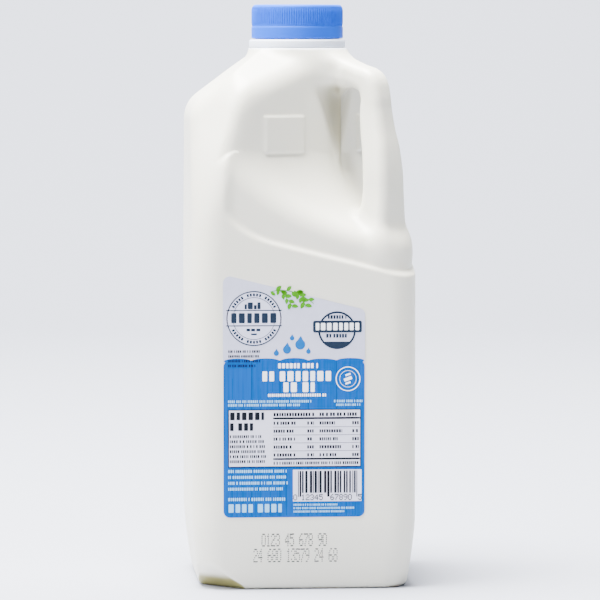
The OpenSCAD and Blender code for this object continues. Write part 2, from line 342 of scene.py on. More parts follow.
def clouded(tree, where, size_mm, dark, light, half=0.15, detail=2.0):
    """A colour that drifts between two shades in soft clouds of the given size."""
    noise = add(tree, "ShaderNodeTexNoise", {"Vector": where, "Scale": 1 / (size_mm * MM), "Detail": detail})
    ramp = add(tree, "ShaderNodeValToRGB", {0: noise})
    for point, place, shade in zip(ramp.color_ramp.elements, (0.5 - half, 0.5 + half), (dark, light)):
        point.position, point.color = place, rgba(shade)
    return ramp.outputs["Color"]


def relief(tree, shader, where, size_mm, strength, depth_mm, detail=2.0, raised=None):
    """Fine grain on the surface, with whatever is raised added to it."""
    grain = add(tree, "ShaderNodeTexNoise", {"Vector": where, "Scale": 1 / (size_mm * MM), "Detail": detail})
    if raised is not None:
        grain = add(tree, "ShaderNodeMath", {0: raised, 1: 1.2, 2: grain}, operation="MULTIPLY_ADD")
    bump = add(tree, "ShaderNodeBump", {"Strength": strength, "Distance": depth_mm * MM, "Height": grain})
    tree.links.new(bump.outputs[0], shader.inputs["Normal"])


def soft_steps(tree, *steps):
    """The product of eased steps, each (value, where it is 0, where it is 1)."""
    product = None
    for value, none, full in steps:
        step = add(tree, "ShaderNodeMapRange", {"Value": value, "From Min": none, "From Max": full},
                   interpolation_type="SMOOTHSTEP")
        product = step if product is None else add(
            tree, "ShaderNodeMath", {0: product, 1: step}, operation="MULTIPLY")
    return product


# ---------------------------------------------------------------- finishes

def natural_polyethylene(finish, neck):
    """Blow-moulded natural high-density polyethylene: cloudy and waxy, white with milk behind it.
    The eye sees a broad dull sheen, a faint orange-peel skin and slow changes of wall thickness. Shade is
    painted on the two foot facets and in a wedge behind the handle."""
    material, tree, shader, where = new_material(
        "Natural HDPE, blow-moulded", Roughness=0.4, IOR=1.54, Subsurface_Weight=0.2,
        Subsurface_Radius=(1.0, 0.9, 0.75), Subsurface_Scale=4 * MM)
    base = clouded(tree, where, 38, dimmed(finish.plastic, 0.985), finish.plastic, 0.2)
    x, y, z = add(tree, "ShaderNodeSeparateXYZ", {0: where}).outputs
    aside = add(tree, "ShaderNodeMath", {0: x, 1: y}, operation="ADD")
    aside = add(tree, "ShaderNodeMath", {0: aside}, operation="ABSOLUTE")
    out = add(tree, "ShaderNodeMath", {0: x, 1: y}, operation="SUBTRACT")
    # painted shade on the facet past a slanting line across each foot corner, strongest at the floor and
    # fading higher up
    slant = add(tree, "ShaderNodeMath", {0: z, 1: -1.6, 2: aside}, operation="MULTIPLY_ADD")
    fading = add(tree, "ShaderNodeMapRange", {"Value": z, "From Min": 4 * MM, "From Max": 24 * MM,
                                              "To Min": 1.0, "To Max": 0.35})
    facet = add(tree, "ShaderNodeMath", {0: soft_steps(tree, (slant, 70.2 * MM, 70.9 * MM)), 1: fading},
                operation="MULTIPLY")
    # painted shade: a darker wedge in the hollow under the handle's root, behind the handle, wider towards
    # its top
    width = add(tree, "ShaderNodeMapRange", {"Value": z, "From Min": 190 * MM, "From Max": 218 * MM,
                                             "To Min": 3 * MM, "To Max": 21 * MM})
    share = add(tree, "ShaderNodeMath", {0: aside, 1: width}, operation="DIVIDE")
    shade_behind_handle = soft_steps(tree, (share, 1.0, 0.1), (z, 176 * MM, 200 * MM), (z, 224 * MM, 220 * MM),
                       (out, 14 * MM, 22 * MM), (out, 44 * MM, 38 * MM))
    empty = soft_steps(tree, (z, (neck.collar_z - 1.5) * MM, (neck.collar_z + 0.5) * MM))
    # the first two layers are painted shade; the last is the empty neck's own colour
    for mask, shade in ((facet, finish.foot_facet_shade), (shade_behind_handle, finish.shade_behind_handle), (empty, finish.clear)):
        base = add(tree, "ShaderNodeMix", {0: mask, 6: base, 7: rgba(shade)}, data_type="RGBA").outputs[2]
    tree.links.new(base, shader.inputs["Base Color"])
    seam = soft_steps(tree, (aside, 0.9 * MM, 0.2 * MM))
    relief(tree, shader, where, 2.6, 0.12, 0.12, 3.0, seam)
    return material


def moulded_cap(finish):
    """Injection-moulded polypropylene, satin from a spark-eroded tool: even colour, soft highlight."""
    material, tree, shader, where = new_material(
        "Polypropylene, injection-moulded blue", Roughness=0.48, IOR=1.49, Specular_IOR_Level=0.08,
        Subsurface_Weight=0.08, Subsurface_Radius=(0.4, 0.7, 1.0), Subsurface_Scale=1 * MM)
    tree.links.new(clouded(tree, where, 9, dimmed(finish.cap, 0.95), finish.cap, 0.2),
                   shader.inputs["Base Color"])
    relief(tree, shader, where, 0.35, 0.15, 0.03)
    return material


def coated_paper(finish):
    """Clay-coated label paper, flexo printed: flat and even, with a slight mottle where the ink lies thin."""
    material, tree, shader, where = new_material("Coated paper, printed ground", Roughness=0.5, IOR=1.48)
    tree.links.new(clouded(tree, where, 5, dimmed(finish.paper, 0.94), finish.paper, detail=4.0),
                   shader.inputs["Base Color"])
    relief(tree, shader, where, 0.5, 0.1, 0.02)
    return material


def printed_ink(name, shade, spread=0.9):
    """Flexo ink on coated paper: satin, with the fine speckle of a solid printed from a plate."""
    material, tree, shader, where = new_material(name, Roughness=0.6, IOR=1.5, Specular_IOR_Level=0.05)
    tree.links.new(clouded(tree, where, 0.8, dimmed(shade, spread), shade), shader.inputs["Base Color"])
    return material


def plank_ink(finish):
    """Flexo ink printed as brushed boards: fine streaks run up each board."""
    material, tree, shader, where = new_material("Flexo ink, blue boards", Roughness=0.6, IOR=1.5,
                                                 Specular_IOR_Level=0.03)
    stretch = add(tree, "ShaderNodeMapping", {"Vector": where, "Scale": (1.0, 1.0, 0.04)})
    dark, light = dimmed(finish.planks, 0.86), dimmed(finish.planks, 1.1)
    tree.links.new(clouded(tree, stretch, 0.9, dark, light, 0.2, 3.0), shader.inputs["Base Color"])
    return material


# ---------------------------------------------------------------- node trees for what repeats

def tree_base(name, sizes):
    """A modifier tree with Geometry, the named sizes and a material; returns tree, inputs and output."""
    tree = bpy.data.node_groups.new(name, "GeometryNodeTree")
    tree.is_modifier = True
    tree.interface.new_socket(name="Geometry", in_out="INPUT", socket_type="NodeSocketGeometry")
    for key, value in sizes.items():
        kind = "NodeSocketInt" if isinstance(value, int) else "NodeSocketFloat"
        tree.interface.new_socket(name=key, in_out="INPUT", socket_type=kind).default_value = value
    tree.interface.new_socket(name="Material", in_out="INPUT", socket_type="NodeSocketMaterial")
    tree.interface.new_socket(name="Geometry", in_out="OUTPUT", socket_type="NodeSocketGeometry")
    return tree, add(tree, "NodeGroupInput").outputs, add(tree, "NodeGroupOutput")


def end_tree(tree, inputs, output, geometry):
    real = add(tree, "GeometryNodeRealizeInstances", {"Geometry": geometry})
    done = add(tree, "GeometryNodeSetMaterial", {"Geometry": real, "Material": inputs["Material"]})
    tree.links.new(done.outputs[0], output.inputs[0])
    return tree


def rib_tree():
    """Ribs with tapered ends, set upright round a circle."""
    tree, inputs, output = tree_base("Cap ribs", {"Count": 120, "Circle Radius": 0.02, "Rib Radius": 0.0004,
                                                  "Bottom": 0.2474, "Top": 0.2555})
    circle = add(tree, "GeometryNodeMeshCircle", {
        "Vertices": inputs["Count"], "Radius": inputs["Circle Radius"]})
    low = add(tree, "ShaderNodeCombineXYZ", {2: inputs["Bottom"]})
    high = add(tree, "ShaderNodeCombineXYZ", {2: inputs["Top"]})
    line = add(tree, "GeometryNodeCurvePrimitiveLine", {"Start": low, "End": high})
    steps = add(tree, "GeometryNodeResampleCurve", {"Curve": line, "Count": 7})
    along = add(tree, "GeometryNodeSplineParameter").outputs["Factor"]
    shape = add(tree, "ShaderNodeFloatCurve", {"Value": along})
    points = shape.mapping.curves[0].points
    points[0].location, points[1].location = (0.0, 0.15), (1.0, 0.15)
    points.new(0.12, 1.0)
    points.new(0.88, 1.0)
    shape.mapping.update()
    size = add(tree, "ShaderNodeMath", {0: shape, 1: inputs["Rib Radius"]}, operation="MULTIPLY")
    profile = add(tree, "GeometryNodeCurvePrimitiveCircle", {"Resolution": 8, "Radius": 1.0})
    rib = add(tree, "GeometryNodeCurveToMesh", {
        "Curve": steps, "Profile Curve": profile.outputs["Curve"], "Scale": size, "Fill Caps": True})
    placed = add(tree, "GeometryNodeInstanceOnPoints", {"Points": circle, "Instance": rib})
    return end_tree(tree, inputs, output, placed)


def stamped(tree, inputs, output, curve):
    """Ends a tree: the closed curve becomes a thin solid, set on each point by the point's size and lean."""
    flat = add(tree, "GeometryNodeFillCurve", {"Curve": curve}, mode="NGONS")
    solid = add(tree, "GeometryNodeExtrudeMesh", {"Mesh": flat, "Offset Scale": inputs["Thickness"],
                                                  "Individual": False})
    under = add(tree, "GeometryNodeFlipFaces", {"Mesh": flat})
    shut = add(tree, "GeometryNodeJoinGeometry", {"Geometry": solid})
    tree.links.new(under.outputs[0], shut.inputs[0])
    merged = add(tree, "GeometryNodeMergeByDistance", {"Geometry": shut, "Distance": 1e-7})
    upright = add(tree, "GeometryNodeTransform", {"Geometry": merged, "Rotation": (pi / 2, 0, 0)})
    size, lean = (add(tree, "GeometryNodeInputNamedAttribute", {"Name": key}, data_type="FLOAT_VECTOR")
                  for key in ("size", "lean"))
    turned = add(tree, "FunctionNodeEulerToRotation", {0: lean})
    placed = add(tree, "GeometryNodeInstanceOnPoints", {
        "Points": inputs["Geometry"], "Instance": upright, "Rotation": turned, "Scale": size})
    return end_tree(tree, inputs, output, placed)


def stamp_tree(name, round_one=False):
    """A thin printed block or dot on each point."""
    tree, inputs, output = tree_base(name, {"Corner": 0.12, "Thickness": 0.00002, "Sides": 16})
    if round_one:
        curve = add(tree, "GeometryNodeCurvePrimitiveCircle", {
            "Resolution": inputs["Sides"], "Radius": 0.5}).outputs["Curve"]
    else:
        outline = add(tree, "GeometryNodeCurvePrimitiveQuadrilateral", {"Width": 1.0, "Height": 1.0})
        curve = add(tree, "GeometryNodeFilletCurve", {"Curve": outline, "Count": 2,
                                                      "Radius": inputs["Corner"]}, mode="POLY")
    return stamped(tree, inputs, output, curve)


def leaf_tree():
    """A pointed leaf on each point."""
    tree, inputs, output = tree_base("Leaves", {"Thickness": 0.00002, "Sides": 5})
    start, end = (-0.5, 0, 0), (0.5, 0, 0)
    halves = [add(tree, "GeometryNodeCurveQuadraticBezier", {
        "Resolution": inputs["Sides"], "Start": first, "Middle": (-0.05, side, 0), "End": last})
        for first, side, last in ((start, 0.42, end), (end, -0.42, start))]
    both = add(tree, "GeometryNodeJoinGeometry", {"Geometry": halves[0]})
    tree.links.new(halves[1].outputs[0], both.inputs[0])
    wires = add(tree, "GeometryNodeCurveToMesh", {"Curve": both})
    shut = add(tree, "GeometryNodeMergeByDistance", {"Geometry": wires, "Distance": 0.01})
    ring = add(tree, "GeometryNodeMeshToCurve", {"Mesh": shut})
    return stamped(tree, inputs, output, ring)


def run_tree(obj, tree, values, material):
    """Runs a tree on an object once, keeps its mesh and takes the modifier off."""
    modifier = obj.modifiers.new(tree.name, "NODES")
    modifier.node_group = tree
    for item in tree.interface.items_tree:
        if item.item_type == "SOCKET" and item.in_out == "INPUT":
            if item.name in values:
                modifier[item.identifier] = values[item.name]
            elif item.name == "Material":
                modifier[item.identifier] = material
    obj.update_tag()
    bpy.context.view_layer.update()
    shaped = obj.evaluated_get(bpy.context.evaluated_depsgraph_get())
    mesh = bpy.data.meshes.new_from_object(shaped)
    if not mesh.polygons:
        raise RuntimeError(f"{tree.name} made nothing")
    obj.modifiers.remove(modifier)
    old, obj.data = obj.data, mesh
    mesh.name = obj.name
    bpy.data.meshes.remove(old)


def stamps(name, rows, tree, material, slot="label", corner=0.12, sides=16):
    """One printed piece of many stamps; rows are (x, y, z, width, height, turn in degrees), millimetres."""
    obj = new_object(name, [row[:3] for row in rows], [])
    for key, values in (
            ("size", [c for row in rows for c in (row[3] * MM, 1.0, row[4] * MM)]),
            ("lean", [c for row in rows for c in (0.0, -radians(row[5]), 0.0)])):
        field = obj.data.attributes.new(key, "FLOAT_VECTOR", "POINT")
        field.data.foreach_set("vector", values)
    run_tree(obj, tree, {"Corner": corner, "Thickness": PRINT_DEPTH * MM, "Sides": sides}, material)
    for key in ("size", "lean"):
        if key in obj.data.attributes:
            obj.data.attributes.remove(obj.data.attributes[key])
    finish_piece(obj, None, slot)


def plates(name, parts, ink):
    """One printed piece of flat plates and rings."""
    finish_piece(new_object(name, *joined(parts), smooth=False), ink, "label")


# ---------------------------------------------------------------- the jug's form

# millimetres, unless they are powers
CORNER_DROP = 75  # height over which the upright corners open out below the shoulder
CORNER_IN = 5.18  # how far the rounded corner lies inside the sharp one
TAPER_POWER, SHELF_POWER = 1.4, 1.5  # how the foot draws in, and how the scoop's floor climbs
CREASE_H, CREASE_TURN_R = 1.8, 9  # height of the crease's step, and its rounding at the turn
BEVEL_BLEND, ROOF_BLEND = 5, 6
PLAQUE_RISE, PLAQUE_R = 1.0, 0.4
POCKET_S, POCKET_Z = 20.5, (190, 222)  # the pocket's back wall from the axis, and its heights
GRIP_Z, FAR = (138, 242), 50.0  # heights between which the handle can reach, and a distance out of its reach
DISH_R, DISH_RUN, DISH_LIP = 36.5, 16, 0.6  # where the base starts to rise, over how far, and its rounding
GRID_MARGIN, GRID_COUNT = 1.9, 83  # how far the grid reaches past the body, and its lines across


def ease(v):
    c = np.clip(v, 0.0, 1.0)
    return c * c * (3 - 2 * c)


def smooth_max(a, b, k):
    h = np.maximum(k - np.abs(a - b), 0) / k
    return np.maximum(a, b) + h * h * k / 4


def smooth_min(a, b, k):
    return -smooth_max(-a, -b, k)


def round_max(a, b, r):
    outer = np.hypot(np.maximum(a + r, 0), np.maximum(b + r, 0))
    return np.minimum(np.maximum(a, b), -r) + outer


def rounded(a, b, r):
    """Distance from a rounded corner, where a and b run from the middle of its arc."""
    return np.hypot(np.maximum(a, 0), np.maximum(b, 0)) + np.minimum(np.maximum(a, b), 0) - r


def square_d(x, y, w, r):
    return rounded(np.abs(x) - w + r, np.abs(y) - w + r, r)


def body_d(j, x, y, z):
    """Rough signed distance from the body's skin: walls, sloping shoulder, crease, foot and scoop."""
    s, t = (x - y) / sqrt(2), (x + y) / sqrt(2)
    half = j.body_w / 2
    corner = j.corner_r + (j.corner_top_r - j.corner_r) * ease((z - j.shoulder_z + CORNER_DROP) / CORNER_DROP)
    taper = j.taper_in * np.clip((j.taper_z - z) / j.taper_z, 0, 1) ** TAPER_POWER
    slope = tan(j.crease_deg) * sqrt(2)
    above = (z - j.crease_axis_z + slope * s) / hypot(1, slope)
    inside = -round_max(-above, -(s - j.panel_s) / 1.6, CREASE_TURN_R)
    set_back = j.panel_set * ease(inside / CREASE_H + 0.5)
    side = square_d(x, y, half - taper - set_back, corner)
    roof = square_d(x, y, half, corner) * sin(j.shoulder_deg) + (z - j.shoulder_z) * cos(j.shoulder_deg)
    lean = j.bevel_w / sqrt(2) / j.bevel_drop
    bevel_t = (j.body_w - j.bevel_w) / sqrt(2)
    bevel = (np.abs(t) - bevel_t - (j.shoulder_z - z) * lean) / hypot(1, lean)
    foot = round_max(smooth_max(smooth_max(side, bevel, BEVEL_BLEND), roof, ROOF_BLEND), -z, j.heel_r)
    corner_t = half * sqrt(2) - CORNER_IN
    cut = smooth_max(foot, (np.abs(t) - corner_t - z + j.facet_z) / sqrt(2), 1)
    bend = j.scoop_deg / 2
    u, w = s - (j.scoop_s - j.scoop_arc_r), np.abs(t)
    curved = np.arctan2(w, u) < bend
    wall = np.where(curved, np.hypot(u, t), u * cos(bend) + w * sin(bend)) - j.scoop_arc_r
    fade = 1 - np.clip(1 - wall / j.shelf_reach, 0, 1) ** SHELF_POWER
    shelf = j.shelf_z + j.shelf_rise * (1 - fade ** (1 / SHELF_POWER))
    shelf -= 0.06 * np.maximum(wall - j.shelf_reach, 0)
    d = smooth_max(cut, np.minimum(wall, (z - shelf) * 0.8), j.rim_r)
    return with_parting(j, with_plaques(j, d, s, t, z, bend), s, t, z)


def with_plaques(j, d, s, t, z, bend):
    """Raises a plaque on each flat of the scoop's wall."""
    lift = (j.scoop_arc_r - j.plaque_t * sin(bend)) / cos(bend) + j.scoop_s - j.scoop_arc_r
    for way in (1, -1):
        ps, pt = s - lift, t - way * j.plaque_t
        across = -ps * sin(bend) * way + pt * cos(bend)
        out = ps * cos(bend) + pt * sin(bend) * way
        spans = ((out, PLAQUE_RISE), (across, j.plaque_w / 2), (z - j.plaque_z, j.plaque_h / 2))
        past = sum(np.maximum(np.abs(c) - reach + PLAQUE_R, 0) ** 2 for c, reach in spans)
        d = smooth_min(d, np.sqrt(past) - PLAQUE_R, 0.8)
    return d


def with_parting(j, d, s, t, z):
    """Sinks the pinched pocket behind the handle, wider at its top, and raises the parting ridge in it."""
    low, high = POCKET_Z
    reach = np.abs(t) - 2.0 - 9.0 * np.clip((z - 194) / 26, 0, 1)
    pocket = np.maximum(np.maximum(reach, POCKET_S - s), np.maximum(z - high, low - z))
    d = smooth_max(d, -pocket, 4.0)
    ridge = np.maximum(np.abs(t) - 0.8 - 0.3 * np.maximum(j.parting_tip - s, 0), s - j.parting_tip)
    return smooth_min(d, np.maximum(ridge, np.maximum(np.abs(z - 200) - 22, 12 - s)), 1.2)


def grip_line(j):
    """The handle's centre line in the plane across the corner: distance out, height, thickness, width."""
    stations = [
        (14.5, 230, 1.2, 1.2), (21.5, 229, 1, 1), (28.94, 227.4, .85, .85), (36.6, 225.4, .76, .78),
        (43.2, 222.6, .83, .77), (45.7, 216.4, .81, .76), (45.9, 210, .9, .76), (47, 201.3, .96, .82),
        (48.8, 192.6, .98, .92), (49.9, 182.75, 1, 1), (50.1, 174, 1.02, 1.02), (49.5, 165.3, 1.12, 1.1),
        (48.1, 158.2, 1.35, 1.2), (46.6, 149.5, 1.6, 1.3)]
    points = [np.array(p, float) for p in stations]
    fine = []
    for k in range(1, len(points) - 2):
        a, b, c, d = points[k - 1:k + 3]
        for u in np.linspace(0, 1, 5, endpoint=False):
            fine.append(0.5 * (2 * b + (c - a) * u + (2 * a - 5 * b + 4 * c - d) * u ** 2
                               + (3 * b - a - 3 * c + d) * u ** 3))
    fine = [points[0]] + fine + [points[-2], points[-1]]
    return [p * np.array([1, 1, j.grip_t / 2, j.grip_w / 2]) for p in fine]


def grip_d(j, x, y, z):
    s, t = (x - y) / sqrt(2), (x + y) / sqrt(2)
    line = grip_line(j)
    nearest, size_n, size_t = np.full(x.shape, 1e9), np.zeros(x.shape), np.zeros(x.shape)
    for a, b in zip(line, line[1:]):
        step = b[:2] - a[:2]
        u = np.clip(((s - a[0]) * step[0] + (z - a[1]) * step[1]) / step.dot(step), 0, 1)
        d = np.hypot(s - a[0] - u * step[0], z - a[1] - u * step[1])
        closer = d < nearest
        nearest = np.where(closer, d, nearest)
        size_n = np.where(closer, a[2] + u * (b[2] - a[2]), size_n)
        size_t = np.where(closer, a[3] + u * (b[3] - a[3]), size_t)
    return rounded(nearest - size_n + j.grip_r, np.abs(t) - size_t + j.grip_r, j.grip_r)


def jug_d(j, n, x, y, z):
    """The whole skin: body, handle and the swell up to the collar."""
    d = body_d(j, x, y, z)
    near = (x - y > 0) & (z > GRIP_Z[0]) & (z < GRIP_Z[1])
    if near.any():
        grip = np.full(d.shape, FAR)
        grip[near] = grip_d(j, x[near], y[near], z[near])
        blend = 6 + 3 * ease((z - 200) / 20)
        h = np.maximum(blend - np.abs(d - grip), 0) / blend
        d = np.minimum(d, grip) - h * h * blend / 4
    r = np.hypot(x, y)
    d = smooth_min(d, np.maximum(r - n.collar_r, z - n.collar_z - 1), 5)
    d = np.maximum(d, z - (n.collar_z - 0.2))
    dish = (j.push_up + DISH_LIP) * ease((DISH_R - r) / DISH_RUN) - DISH_LIP
    return smooth_max(d, dish - z, DISH_LIP)


def spaced(spans):
    """Grid heights through (start, step) spans."""
    out = []
    for (start, step), (end, _) in zip(spans, spans[1:]):
        count = max(1, round((end - start) / step))
        out += [start + (end - start) * k / count for k in range(count)]
    return np.array(out + [spans[-1][0]])


def net_surface(field, axes):
    """Surface nets: one vertex in each cell the skin crosses, one four-sided face over each crossed edge."""
    grid = np.stack(np.meshgrid(*axes, indexing="ij"), -1)
    value = field(grid[..., 0], grid[..., 1], grid[..., 2])
    cells = tuple(len(a) - 1 for a in axes)
    total, count = np.zeros(cells + (3,)), np.zeros(cells)
    edges = []
    for axis in range(3):
        low = [slice(None)] * 3
        high = [slice(None)] * 3
        low[axis], high[axis] = slice(0, -1), slice(1, None)
        a, b = value[tuple(low)], value[tuple(high)]
        cross = (a < 0) != (b < 0)
        share = np.where(cross, a / np.where(cross, a - b, 1), 0)
        start, end = grid[tuple(low)], grid[tuple(high)]
        place = np.where(cross[..., None], start + share[..., None] * (end - start), 0)
        others = [k for k in range(3) if k != axis]
        for shifts in ((0, 0), (0, 1), (1, 0), (1, 1)):
            cut = [slice(None)] * 3
            for k, shift in zip(others, shifts):
                cut[k] = slice(shift, shift + cells[k])
            total += place[tuple(cut)]
            count += cross[tuple(cut)]
        edges.append((axis, cross, a < 0))
    used = count > 0
    number = np.full(cells, -1)
    number[used] = np.arange(used.sum())
    verts = total[used] / count[used][:, None]
    faces = []
    for axis, cross, inward in edges:
        at = np.argwhere(cross)
        b, c = (axis + 1) % 3, (axis + 2) % 3
        corners = []
        for db, dc in ((1, 1), (0, 1), (0, 0), (1, 0)):
            cell = at.copy()
            cell[:, b] -= db
            cell[:, c] -= dc
            corners.append(number[tuple(cell.T)])
        quad = np.stack(corners, 1)
        flip = ~inward[tuple(at.T)]
        quad[flip] = quad[flip][:, ::-1]
        faces.append(quad)
    return verts, np.concatenate(faces)


def settle(field, verts, rounds=4):
    """Moves each vertex onto the skin along the field's slope."""
    h = 0.02
    for _ in range(rounds):
        x, y, z = verts.T
        value = field(x, y, z)
        slope = np.stack([
            field(x + h, y, z) - field(x - h, y, z),
            field(x, y + h, z) - field(x, y - h, z),
            field(x, y, z + h) - field(x, y, z - h)], 1) / (2 * h)
        size = np.maximum((slope ** 2).sum(1), 0.05)
        move = np.clip(value / size, -0.6, 0.6)
        verts = verts - slope * move[:, None]
    return verts


def jug_mesh(j, n):
    """The blown shell and handle as one closed skin, in millimetres."""
    def field(x, y, z):
        return jug_d(j, n, x, y, z)
    reach = j.body_w / 2 + GRID_MARGIN
    side = np.linspace(-reach, reach, GRID_COUNT)
    heights = spaced([(-1.3, 1.0), (14, 1.6), (34, 3.0), (134, 0.8), (162, 1.3), (190, 0.7), (194, 1.4),
                      (206, 0.7), (210, 1.2), (236, 0.7), (239.6, 0)])
    verts, faces = net_surface(field, (side, side, heights))
    return settle(field, verts), faces


def neck_mesh(n):
    """The collar bead and the neck inside the cap, turned."""
    top = n.collar_z + n.collar_t
    edge = n.collar_r - n.groove
    profile = [(0, n.collar_z - 2.2), (edge - 0.3, n.collar_z - 2.2), (edge, n.collar_z - n.groove)]
    profile += arc(n.collar_r - 0.6, n.collar_z + 0.5, 0.6, -90, 0, 4)
    profile += arc(n.collar_r - 0.9, top - 0.9, 0.9, 0, 90, 5)
    profile += [(n.neck_r + 0.3, top), (n.neck_r, top + 0.4), (n.neck_r, n.neck_top_z - 0.5),
                (n.neck_r - 0.5, n.neck_top_z), (0, n.neck_top_z)]
    return lathe(profile, 128)


class JUG_OT_shell(bpy.types.Operator):
    """Makes the blow-moulded jug: walls, shoulder, scoop, handle, crease, foot and collar"""
    bl_idname = "jug.shell"
    bl_label = "Jug shell"

    def execute(self, context):
        j, n = in_mm(context.scene.jug_sizes), in_mm(context.scene.jug_neck)
        verts, faces = jug_mesh(j, n)
        parts = joined([(verts.tolist(), faces.tolist()), neck_mesh(n)])
        obj = new_object("jug_shell", *parts)
        finish_piece(obj, natural_polyethylene(context.scene.jug_finish, n), "jug", "jug")
        return {"FINISHED"}


class JUG_OT_cap(bpy.types.Operator):
    """Makes the screw cap: smooth tamper band, ribbed skirt and flat top"""
    bl_idname = "jug.cap"
    bl_label = "Ribbed cap"

    def execute(self, context):
        n = in_mm(context.scene.jug_neck)
        material = moulded_cap(context.scene.jug_finish)
        top, seam = n.cap_z + n.cap_h, n.cap_z + n.band_h
        skirt = n.cap_r - 0.3
        inner = n.neck_r + 0.25
        profile = [
            (inner, n.cap_z + 0.15), (skirt - 0.25, n.cap_z), (n.cap_r - 0.02, n.cap_z + 0.35),
            (n.cap_r, n.cap_z + 0.8), (n.cap_r, seam - 0.9), (n.cap_r, seam - 0.4),
            (n.cap_r - 0.12, seam - 0.15), (skirt, seam), (skirt - 0.05, seam + 0.3),
            (skirt - 0.15, top - n.cap_edge_r)]
        profile += arc(skirt - 0.15 - n.cap_edge_r, top - n.cap_edge_r, n.cap_edge_r, 0, 90, 7)[1:]
        profile += [(n.cap_r - 4.5, top), (n.cap_r - 4.9, top - 0.25), (0, top - 0.25)]
        verts, faces = lathe(profile, 144)
        ceiling = n.neck_top_z + 0.3
        inside, more = lathe([(inner, n.cap_z + 0.15), (inner, ceiling), (0, ceiling)], 144)
        more = [tuple(reversed(f)) for f in more]
        shell = new_object("cap_shell", *joined([(verts, faces), (inside, more)]))
        ribs = new_object("cap_ribs", [(0, 0, 0)], [])
        run_tree(ribs, rib_tree(), {
            "Count": int(n.rib_n), "Circle Radius": (n.cap_r - 0.36) * MM, "Rib Radius": n.rib_d * MM,
            "Bottom": (seam + 0.05) * MM, "Top": (top - n.cap_edge_r * 0.75) * MM}, material)
        ribs.data.polygons.foreach_set("use_smooth", [True] * len(ribs.data.polygons))
        finish_piece(shell, material, "cap", "cap")
        finish_piece(ribs, material, "cap")
        return {"FINISHED"}


# ---------------------------------------------------------------- the label

DIGITS = {
    "0": "01110 10001 10001 10001 10001 10001 01110", "1": "00100 01100 00100 00100 00100 00100 01110",
    "2": "01110 10001 00001 00110 01000 10000 11111", "3": "01110 10001 00001 00110 00001 10001 01110",
    "4": "00010 00110 01010 10010 11111 00010 00010", "5": "11111 10000 11110 00001 00001 10001 01110",
    "6": "00110 01000 10000 11110 10001 10001 01110", "7": "11111 00001 00010 00100 00100 01000 01000",
    "8": "01110 10001 10001 01110 10001 10001 01110", "9": "01110 10001 10001 01111 00001 00010 01100"}


def digit_dots(text, left, low, tall, pitch, step):
    """Middles (x, z) of the dots that draw a line of digits."""
    dots = []
    for place, sign in enumerate(text):
        for line, bits in enumerate(DIGITS.get(sign, "").split()):
            dots += [(left + place * pitch + column * step, low + tall * (1 - line / 6))
                     for column, bit in enumerate(bits) if bit == "1"]
    return dots


# The print is drawn in millimetres, x from the middle of the panel and z from the floor.

class JUG_OT_label_ground(bpy.types.Operator):
    """Gives the label its paper and prints the boards on its lower part"""
    bl_idname = "jug.label_ground"
    bl_label = "Label ground"

    def execute(self, context):
        m, finish = in_mm(context.scene.jug_label), context.scene.jug_finish
        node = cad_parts["label"]
        node.data.materials.clear()
        node.data.materials.append(coated_paper(finish))
        edge = 0.2
        ground_y, line_y = m.front + m.ink, m.front + 2 * m.ink
        ink = plank_ink(finish)
        rng = random.Random(SEED)
        x0, x1, top = m.left + edge, m.right - edge, m.plank_top - 0.9
        outline = box_line(x0, m.bottom + edge, x1, top, m.corner_r - edge, 6)
        plates("label_boards", [plate([outline], ground_y)], ink)
        count = round((x1 - x0) / m.plank_w)
        wide = (x1 - x0) / count
        tops, lines = [], []
        for k in range(count):
            tops.append((x0 + (k + 0.5) * wide, -line_y + PRINT_DEPTH, top - 0.3, wide - 0.25,
                         2.4 + rng.uniform(-0.5, 0.5), 0))
            if k:
                lines.append((x0 + k * wide, -line_y, (top + m.bottom) / 2, 0.3, top - m.bottom - 1.0, 0))
            for share in (0.3, 0.68):
                x, high = x0 + (k + share + rng.uniform(-0.08, 0.08)) * wide, rng.uniform(0.45, 0.95)
                lines.append((x, -line_y, m.bottom + 1 + (top - m.bottom - 3) * high / 2,
                              rng.uniform(0.1, 0.2), (top - m.bottom - 3) * high, 0))
        stamps("label_board_tops", tops, stamp_tree("Board tops", True), ink)
        gaps = printed_ink("Flexo ink, deep blue", finish.plank_gap)
        stamps("label_board_gaps", lines, stamp_tree("Board gaps"), gaps)
        return {"FINISHED"}


def words(rng, x0, x1, z0, z1, y, bold=False):
    """A greeked line: word-long blocks with no letters, from x0 to x1."""
    rows, x, tall = [], x0, z1 - z0
    while x < x1 - 0.25 * tall:
        step = tall * (rng.choice((0.55, 0.62, 0.7)) if bold else rng.choice((0.4, 0.5, 0.62)))
        step = min(step, x1 - x)
        rows.append((x + step / 2, -y, (z0 + z1) / 2, step * 0.86, tall, 0))
        x += step + tall * (0.14 if bold else 0.16)
        if rng.random() < (0.14 if bold else 0.2):
            x += tall * 0.35
    return rows


